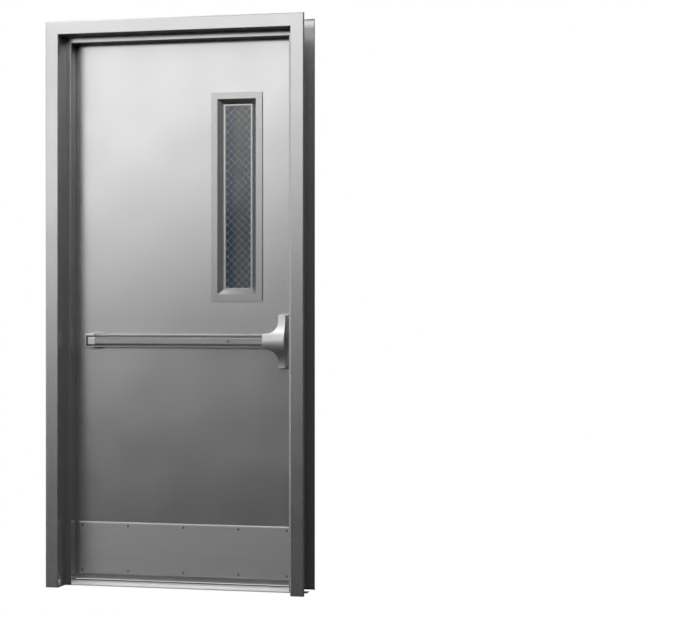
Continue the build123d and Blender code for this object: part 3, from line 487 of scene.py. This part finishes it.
# %% Brushed materials
GRAIN_ACROSS_DOOR = (5.0, 900.0, 900.0)
GRAIN_UP_DOOR = (900.0, 900.0, 6.0)
finish(
    "kick_plate_steel", brushed_grain,
    {"Metal": shade(0.80), "Streak": shade(0.70), "Polish": 0.34, "Grain": GRAIN_ACROSS_DOOR},
    metallic=1.0, bump=0.2, dust=(0.24, 0.35),
)
finish(
    "device_aluminium", brushed_grain,
    {"Metal": shade(0.52), "Streak": shade(0.48), "Polish": 0.32, "Grain": GRAIN_ACROSS_DOOR},
    metallic=0.92,
)
finish(
    "mill_aluminium", brushed_grain,
    {"Metal": shade(0.86), "Streak": shade(0.80), "Polish": 0.48, "Grain": GRAIN_ACROSS_DOOR},
    metallic=0.7, bump=0.1, dust=(0.05, 0.2),
)
finish(
    "hinge_steel", brushed_grain,
    {"Metal": shade(0.68), "Streak": shade(0.56), "Polish": 0.28, "Grain": GRAIN_UP_DOOR},
    metallic=1.0, bump=0.15,
)
print("brushed:", [n for n in materials if "steel" in n or "aluminium" in n])

# %% [markdown]
# ### Small steel parts
#
# Zinc plating has no direction, so its mottle is the grain group again with the same squeeze on every
# axis. The wires in the glass catch the light and look nearly white, so their tone is partly their own
# bright steel and partly a painted highlight. The kick plate's screws look dark in the photograph, and
# their dark tone is painted shade on their heads. Each of the two is the same finish in its own tone.

# %% Plated materials
MOTTLE = (160.0, 160.0, 160.0)
finish(
    "plated_steel", brushed_grain,
    {"Metal": shade(0.62, 0.006), "Streak": shade(0.50, 0.006), "Polish": 0.38, "Grain": MOTTLE},
    metallic=1.0, bump=0.1,
)
# The near-white tone of the wires is partly bright steel and partly a painted highlight.
finish(
    "wire_steel_painted_highlight", brushed_grain,
    {"Metal": shade(0.96), "Streak": shade(0.90), "Polish": 0.4, "Grain": MOTTLE}, metallic=0.5,
)
# The screws' dark tone is painted shade, standing in for the shadow on their heads.
finish(
    "screw_steel_painted_shade", brushed_grain,
    {"Metal": shade(0.22), "Streak": shade(0.18), "Polish": 0.4, "Grain": MOTTLE}, metallic=1.0,
)
print("materials so far:", len(materials))

# %% [markdown]
# ### Tape, rubber and the core
#
# The glazing tape is a pale matt strip that beds the glass, the silencers are grey rubber, and the
# core is kraft paper that nobody sees once the leaf is shut up. Matt things are easy to leave as one
# flat colour, so each of them gets the paint group with a rougher skin.

# %% Matt materials
finish(
    "glazing_tape", paint_skin, {"Coat": shade(0.80), "Thin Coat": shade(0.74), "Sheen": 0.6},
    metallic=0.0, bump=0.3, bump_depth=COARSE_DEPTH,
)
finish(
    "silencer_rubber", paint_skin, {"Coat": shade(0.16), "Thin Coat": shade(0.13), "Sheen": 0.7},
    metallic=0.0, bump=0.4, bump_depth=COARSE_DEPTH,
)
finish(
    "honeycomb_core", paint_skin,
    {"Coat": (0.42, 0.30, 0.17, 1), "Thin Coat": (0.34, 0.24, 0.13, 1), "Sheen": 0.8},
    metallic=0.0, bump=0.6, bump_depth=COARSE_DEPTH,
)
print("materials:", len(materials))

# %% [markdown]
# ### Wired glass
#
# Polished wired glass is clear with a faint grey tint, and it hardly ripples. Real refraction is the
# honest way to make it: full transmission, the index of window glass, and a bump so weak that it only
# breaks up the reflections. The wires come later as a mesh of their own, inside the pane.

# %% Glass material
GLASS_INDEX = 1.52
GLASS_TINT = (0.78, 0.81, 0.82, 1)
GLASS_DEEPER_TINT = (0.74, 0.78, 0.79, 1)
SMEAR_SCALE = 9.0
CLEANEST, MOST_SMEARED = 0.02, 0.06  # roughness
TINT_SCALE = 5.0
RIPPLE_SCALE = 14.0
RIPPLE_STRENGTH = 0.05
RIPPLE_DEPTH = 0.0003
glass = bpy.data.materials.new("wired_glass")
glass.use_nodes = True
tree = glass.node_tree
shader = tree.nodes["Principled BSDF"]
shader.inputs["Transmission Weight"].default_value = 1.0
shader.inputs["IOR"].default_value = GLASS_INDEX
smear = map_range(tree, noise(tree, SMEAR_SCALE, 3.0), NOISE_LOW, NOISE_HIGH, CLEANEST, MOST_SMEARED)
tree.links.new(smear, shader.inputs["Roughness"])
tint = map_range(tree, noise(tree, TINT_SCALE), NOISE_LOW, NOISE_HIGH, 0.0, 1.0)
tree.links.new(blend_colours(tree, tint, GLASS_TINT, GLASS_DEEPER_TINT), shader.inputs["Base Color"])
ripple = tree.nodes.new("ShaderNodeBump")
ripple.inputs["Strength"].default_value = RIPPLE_STRENGTH
ripple.inputs["Distance"].default_value = RIPPLE_DEPTH
tree.links.new(noise(tree, RIPPLE_SCALE, 1.0), ripple.inputs["Height"])
tree.links.new(ripple.outputs["Normal"], shader.inputs["Normal"])
materials["wired_glass"] = glass
print("glass index:", round(shader.inputs["IOR"].default_value, 2))

# %% Dress the solids
slot_of = {piece["node"]: piece["material_slot"] for piece in frame["record"]["subparts"]}
for name, solid in nodes.items():
    material = materials[slot_of[name]]
    if not solid.material_slots:
        solid.data.materials.append(material)
    for place in solid.material_slots:
        place.material = material
print("dressed:", len(slot_of), "solids")

# %% [markdown]
# ## Screws
#
# Screws are too small for the CAD model but plain to see up close. Each is a shallow dome, spun from a
# profile, with a crossed recess cut into it by a boolean. Cutting is slow, so it is done once for each
# kind of head, and the finished head is copied into one mesh for every group of screws.

# %% Helpers for a spun head
SPUN_SIDES = 24
DOME_STEPS = 6
HEAD_SUNK = 0.0004  # how far a head reaches below the surface that it stands on


def link_mesh(name, shape):
    """A mesh object made from a bmesh, which is freed."""
    mesh = bpy.data.meshes.new(name)
    shape.to_mesh(mesh)
    shape.free()
    made = bpy.data.objects.new(name, mesh)
    bpy.context.scene.collection.objects.link(made)
    return made


def spun(profile):
    """A closed bmesh from a profile of (radius, height) points, from the foot up to the axis."""
    shape = bmesh.new()
    rings = []
    for radius, height in profile:
        if radius == 0:
            rings.append([shape.verts.new((0, 0, height))])
            continue
        ring = []
        for i in range(SPUN_SIDES):
            angle = 2 * math.pi * i / SPUN_SIDES
            ring.append(shape.verts.new((radius * math.cos(angle), radius * math.sin(angle), height)))
        rings.append(ring)
    for low, high in zip(rings, rings[1:]):
        for i in range(SPUN_SIDES):
            after = (i + 1) % SPUN_SIDES
            if len(high) == 1:
                shape.faces.new((low[i], low[after], high[0]))
            elif len(low) == 1:
                shape.faces.new((low[0], high[after], high[i]))
            else:
                shape.faces.new((low[i], low[after], high[after], high[i]))
    bmesh.ops.recalc_face_normals(shape, faces=shape.faces)
    return shape


def dome_profile(radius, rise):
    """The outline of a screw head: a flat foot below the surface, a side, and a shallow dome."""
    profile = [(0, -HEAD_SUNK), (radius, -HEAD_SUNK)]
    for i in range(DOME_STEPS):
        angle = math.pi / 2 * i / DOME_STEPS
        profile.append((radius * math.cos(angle), rise * math.sin(angle)))
    return profile + [(0, rise)]


print("profile points:", len(dome_profile(1.0, 1.0)))

# %% Cut the recess and finish the heads
RECESS_LENGTH = 1.1  # of the head's radius, like the width
RECESS_WIDTH = 0.26
RECESS_MIDDLE = 0.9  # of the dome's rise
RECESS_FOOT = 0.55  # the share of its length that a bar keeps at its foot


def cross_cutter(length, width, depth, middle):
    """Two crossed bars that taper downwards, like the driver's tip."""
    shape = bmesh.new()
    for turn in (0, math.pi / 2):
        made = bmesh.ops.create_cube(shape, size=1.0)["verts"]
        for vertex in made:
            reach = length * (RECESS_FOOT if vertex.co.z < 0 else 1.0)
            vertex.co = (vertex.co.x * reach, vertex.co.y * width, vertex.co.z * depth + middle)
        bmesh.ops.rotate(shape, verts=made, matrix=Matrix.Rotation(turn, 3, "Z"))
    return shape


def cut(body, cutter):
    """The body's mesh less the cutter's, and both objects removed."""
    boolean = body.modifiers.new("cut", "BOOLEAN")
    boolean.operation = "DIFFERENCE"
    boolean.solver = "EXACT"
    boolean.use_self = True
    boolean.object = cutter
    result = bpy.data.meshes.new_from_object(body.evaluated_get(bpy.context.evaluated_depsgraph_get()))
    for used in (body, cutter):
        bpy.data.objects.remove(used)
    return result


def screw_head(radius, rise):
    """One finished head, with its crossed recess, standing on Z = 0."""
    body = link_mesh("head", spun(dome_profile(radius, rise)))
    length, width = radius * RECESS_LENGTH, radius * RECESS_WIDTH
    bars = cross_cutter(length, width, rise + HEAD_SUNK, rise * RECESS_MIDDLE)
    return cut(body, link_mesh("driver", bars))


pan_head = screw_head(radius=0.0046, rise=0.0016)
flat_head = screw_head(radius=0.0042, rise=0.0004)
print("faces in a head:", len(pan_head.polygons))

# %% A helper for groups of screws
TURN_PER_SCREW = 1.3  # radians, so that the recesses point every way, as a fitter leaves them


def screws(name, head, places, facing, body, slot, look=None):
    """One mesh of copies of a head at these places. Its look is the slot's unless another is named."""
    turn = Vector(facing).to_track_quat("Z", "Y").to_matrix().to_4x4()
    shape = bmesh.new()
    for i, place in enumerate(places):
        copy = head.copy()
        spin = Matrix.Rotation(TURN_PER_SCREW * i, 4, "Z")
        copy.transform(Matrix.Translation(place) @ turn @ spin)
        shape.from_mesh(copy)
        bpy.data.meshes.remove(copy)
    made = link_mesh(name, shape)
    made.data.materials.append(materials[look or slot])
    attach(made, body)
    print(name, len(places))


# %% [markdown]
# ### Where the screws go
#
# Ten hold the kick plate, in two rows. Four hold each hinge leaf, staggered so that they don't split
# its edge. Two hold the strike, four hold the threshold, and eight hold the lite's pull-side trim, on
# the safe side of the door. Their places come from the boxes of the solids that they hold.

# %% Kick plate screws
KICK_SCREW_INSET = 0.0145
KICK_SCREW_SHARES = (0.0, 0.228, 0.5, 0.768, 1.0)
low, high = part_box("kick_plate")
span = high.x - low.x - 2 * KICK_SCREW_INSET
columns = [low.x + KICK_SCREW_INSET + span * share for share in KICK_SCREW_SHARES]
rows = (low.z + KICK_SCREW_INSET, high.z - KICK_SCREW_INSET)
# These screws take the dark finish, whose tone is painted shade.
screws(
    "kick_plate_screws", pan_head, [(x, low.y, z) for x in columns for z in rows], (0, -1, 0), "leaf",
    "kick_plate_steel", look="screw_steel_painted_shade",
)

# %% Strike screws
STRIKE_SCREW_INSET = 0.010
STRIKE_SCREW_OFFSET = 0.003
STRIKE_PLATE_THICKNESS = 0.003
low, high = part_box("rim_strike")
face = high.x - STRIKE_PLATE_THICKNESS
middle = (low.y + high.y) / 2 - STRIKE_SCREW_OFFSET
strike_places = [(face, middle, low.z + STRIKE_SCREW_INSET), (face, middle, high.z - STRIKE_SCREW_INSET)]
screws("strike_screws", flat_head, strike_places, (-1, 0, 0), "frame", "plated_steel")

# %% Lite screws
LITE_FACE_MIDDLE = 0.013
LITE_SCREW_FROM_CORNER = 0.06
low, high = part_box("lite_frame_pull")
left, right = low.x + LITE_FACE_MIDDLE, high.x - LITE_FACE_MIDDLE
bottom, top = low.z + LITE_FACE_MIDDLE, high.z - LITE_FACE_MIDDLE
middle_x, middle_z = (low.x + high.x) / 2, (low.z + high.z) / 2
levels = (bottom + LITE_SCREW_FROM_CORNER, middle_z, top - LITE_SCREW_FROM_CORNER)
lite_places = [(x, high.y, z) for x in (left, right) for z in levels]
lite_places += [(middle_x, high.y, bottom), (middle_x, high.y, top)]
screws("lite_screws", flat_head, lite_places, (0, 1, 0), "leaf", "lite_frame_paint")

# %% Hinge screws
HINGE_SCREW_HEIGHTS = (-0.042, -0.017, 0.017, 0.042)
HINGE_SCREW_DEPTHS = (0.011, 0.025)
LEAF_TO_JAMB = 0.0055
leaf_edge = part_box("leaf_push_face")[0].x
halves = (("jamb", "frame", 1, leaf_edge - LEAF_TO_JAMB), ("door", "leaf", -1, leaf_edge))
for level in ("top", "middle", "bottom"):
    for half, body, side, edge in halves:
        low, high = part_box(f"{level}_hinge_{half}_leaf")
        centre = (low.z + high.z) / 2
        places = []
        for i, rise in enumerate(HINGE_SCREW_HEIGHTS):
            places.append((edge, low.y + HINGE_SCREW_DEPTHS[i % 2], centre + rise))
        screws(f"{level}_hinge_{half}_screws", flat_head, places, (side, 0, 0), body, "hinge_steel")

# %% Threshold screws
THRESHOLD_SCREWS_ACROSS = (-0.39, -0.13, 0.13, 0.39)
low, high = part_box("threshold")
middle = (low.y + high.y) / 2
threshold_places = [(x, middle, high.z) for x in THRESHOLD_SCREWS_ACROSS]
screws("threshold_screws", flat_head, threshold_places, (0, 0, 1), "frame", "plated_steel")

# %% [markdown]
# ## The wires in the glass
#
# Fire-rated glass holds a welded mesh of thin wires, set here at 45 degrees. Each wire is a slim round
# bar that ends just inside the glass's edge. The two directions lie a wire's thickness apart, as they
# do where they are welded. Drawing them on the pane would be quicker, but real wires keep their depth
# and catch the light when the door swings.

# %% A helper for one wire
WIRE_RADIUS = 0.0008
WIRE_SIDES = 6


def add_wire(shape, foot, tip, y):
    """A straight round bar between two points of the pane."""
    foot, tip = Vector((foot[0], y, foot[1])), Vector((tip[0], y, tip[1]))
    along = tip - foot
    made = bmesh.ops.create_cone(
        shape, cap_ends=True, segments=WIRE_SIDES, radius1=WIRE_RADIUS, radius2=WIRE_RADIUS,
        depth=along.length,
    )["verts"]
    turn = along.to_track_quat("Z", "Y").to_matrix().to_4x4()
    bmesh.ops.transform(shape, matrix=Matrix.Translation((foot + tip) / 2) @ turn, verts=made)


print("wire thickness:", 2 * WIRE_RADIUS)

# %% Weave the wire mesh
WIRE_PITCH = 0.0212
WIRE_FROM_EDGE = 0.001
SHORTEST_ACROSS = 4 * WIRE_RADIUS
low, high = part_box("lite_glass")
left, right = low.x + WIRE_FROM_EDGE, high.x - WIRE_FROM_EDGE
bottom, top = low.z + WIRE_FROM_EDGE, high.z - WIRE_FROM_EDGE
middle_y = (low.y + high.y) / 2
step = WIRE_PITCH * math.sqrt(2)
shape = bmesh.new()
count = 0
for rising, layer in ((True, -1), (False, 1)):
    start_z = bottom - (right - left)
    while start_z < top:
        foot_x, foot_z = left, start_z
        if foot_z < bottom:
            foot_x, foot_z = left + bottom - start_z, bottom
        tip_x, tip_z = right, start_z + right - left
        if tip_z > top:
            tip_x, tip_z = left + top - start_z, top
        if tip_x - foot_x > SHORTEST_ACROSS:
            ends = [(foot_x, foot_z), (tip_x, tip_z)]
            if not rising:
                ends = [(left + right - x, z) for x, z in ends]
            add_wire(shape, *ends, middle_y + layer * WIRE_RADIUS)
            count += 1
        start_z += step
wires = link_mesh("lite_wires", shape)
# The wires take the near-white finish, which is partly a painted highlight.
wires.data.materials.append(materials["wire_steel_painted_highlight"])
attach(wires, "leaf")
print("wires:", count)
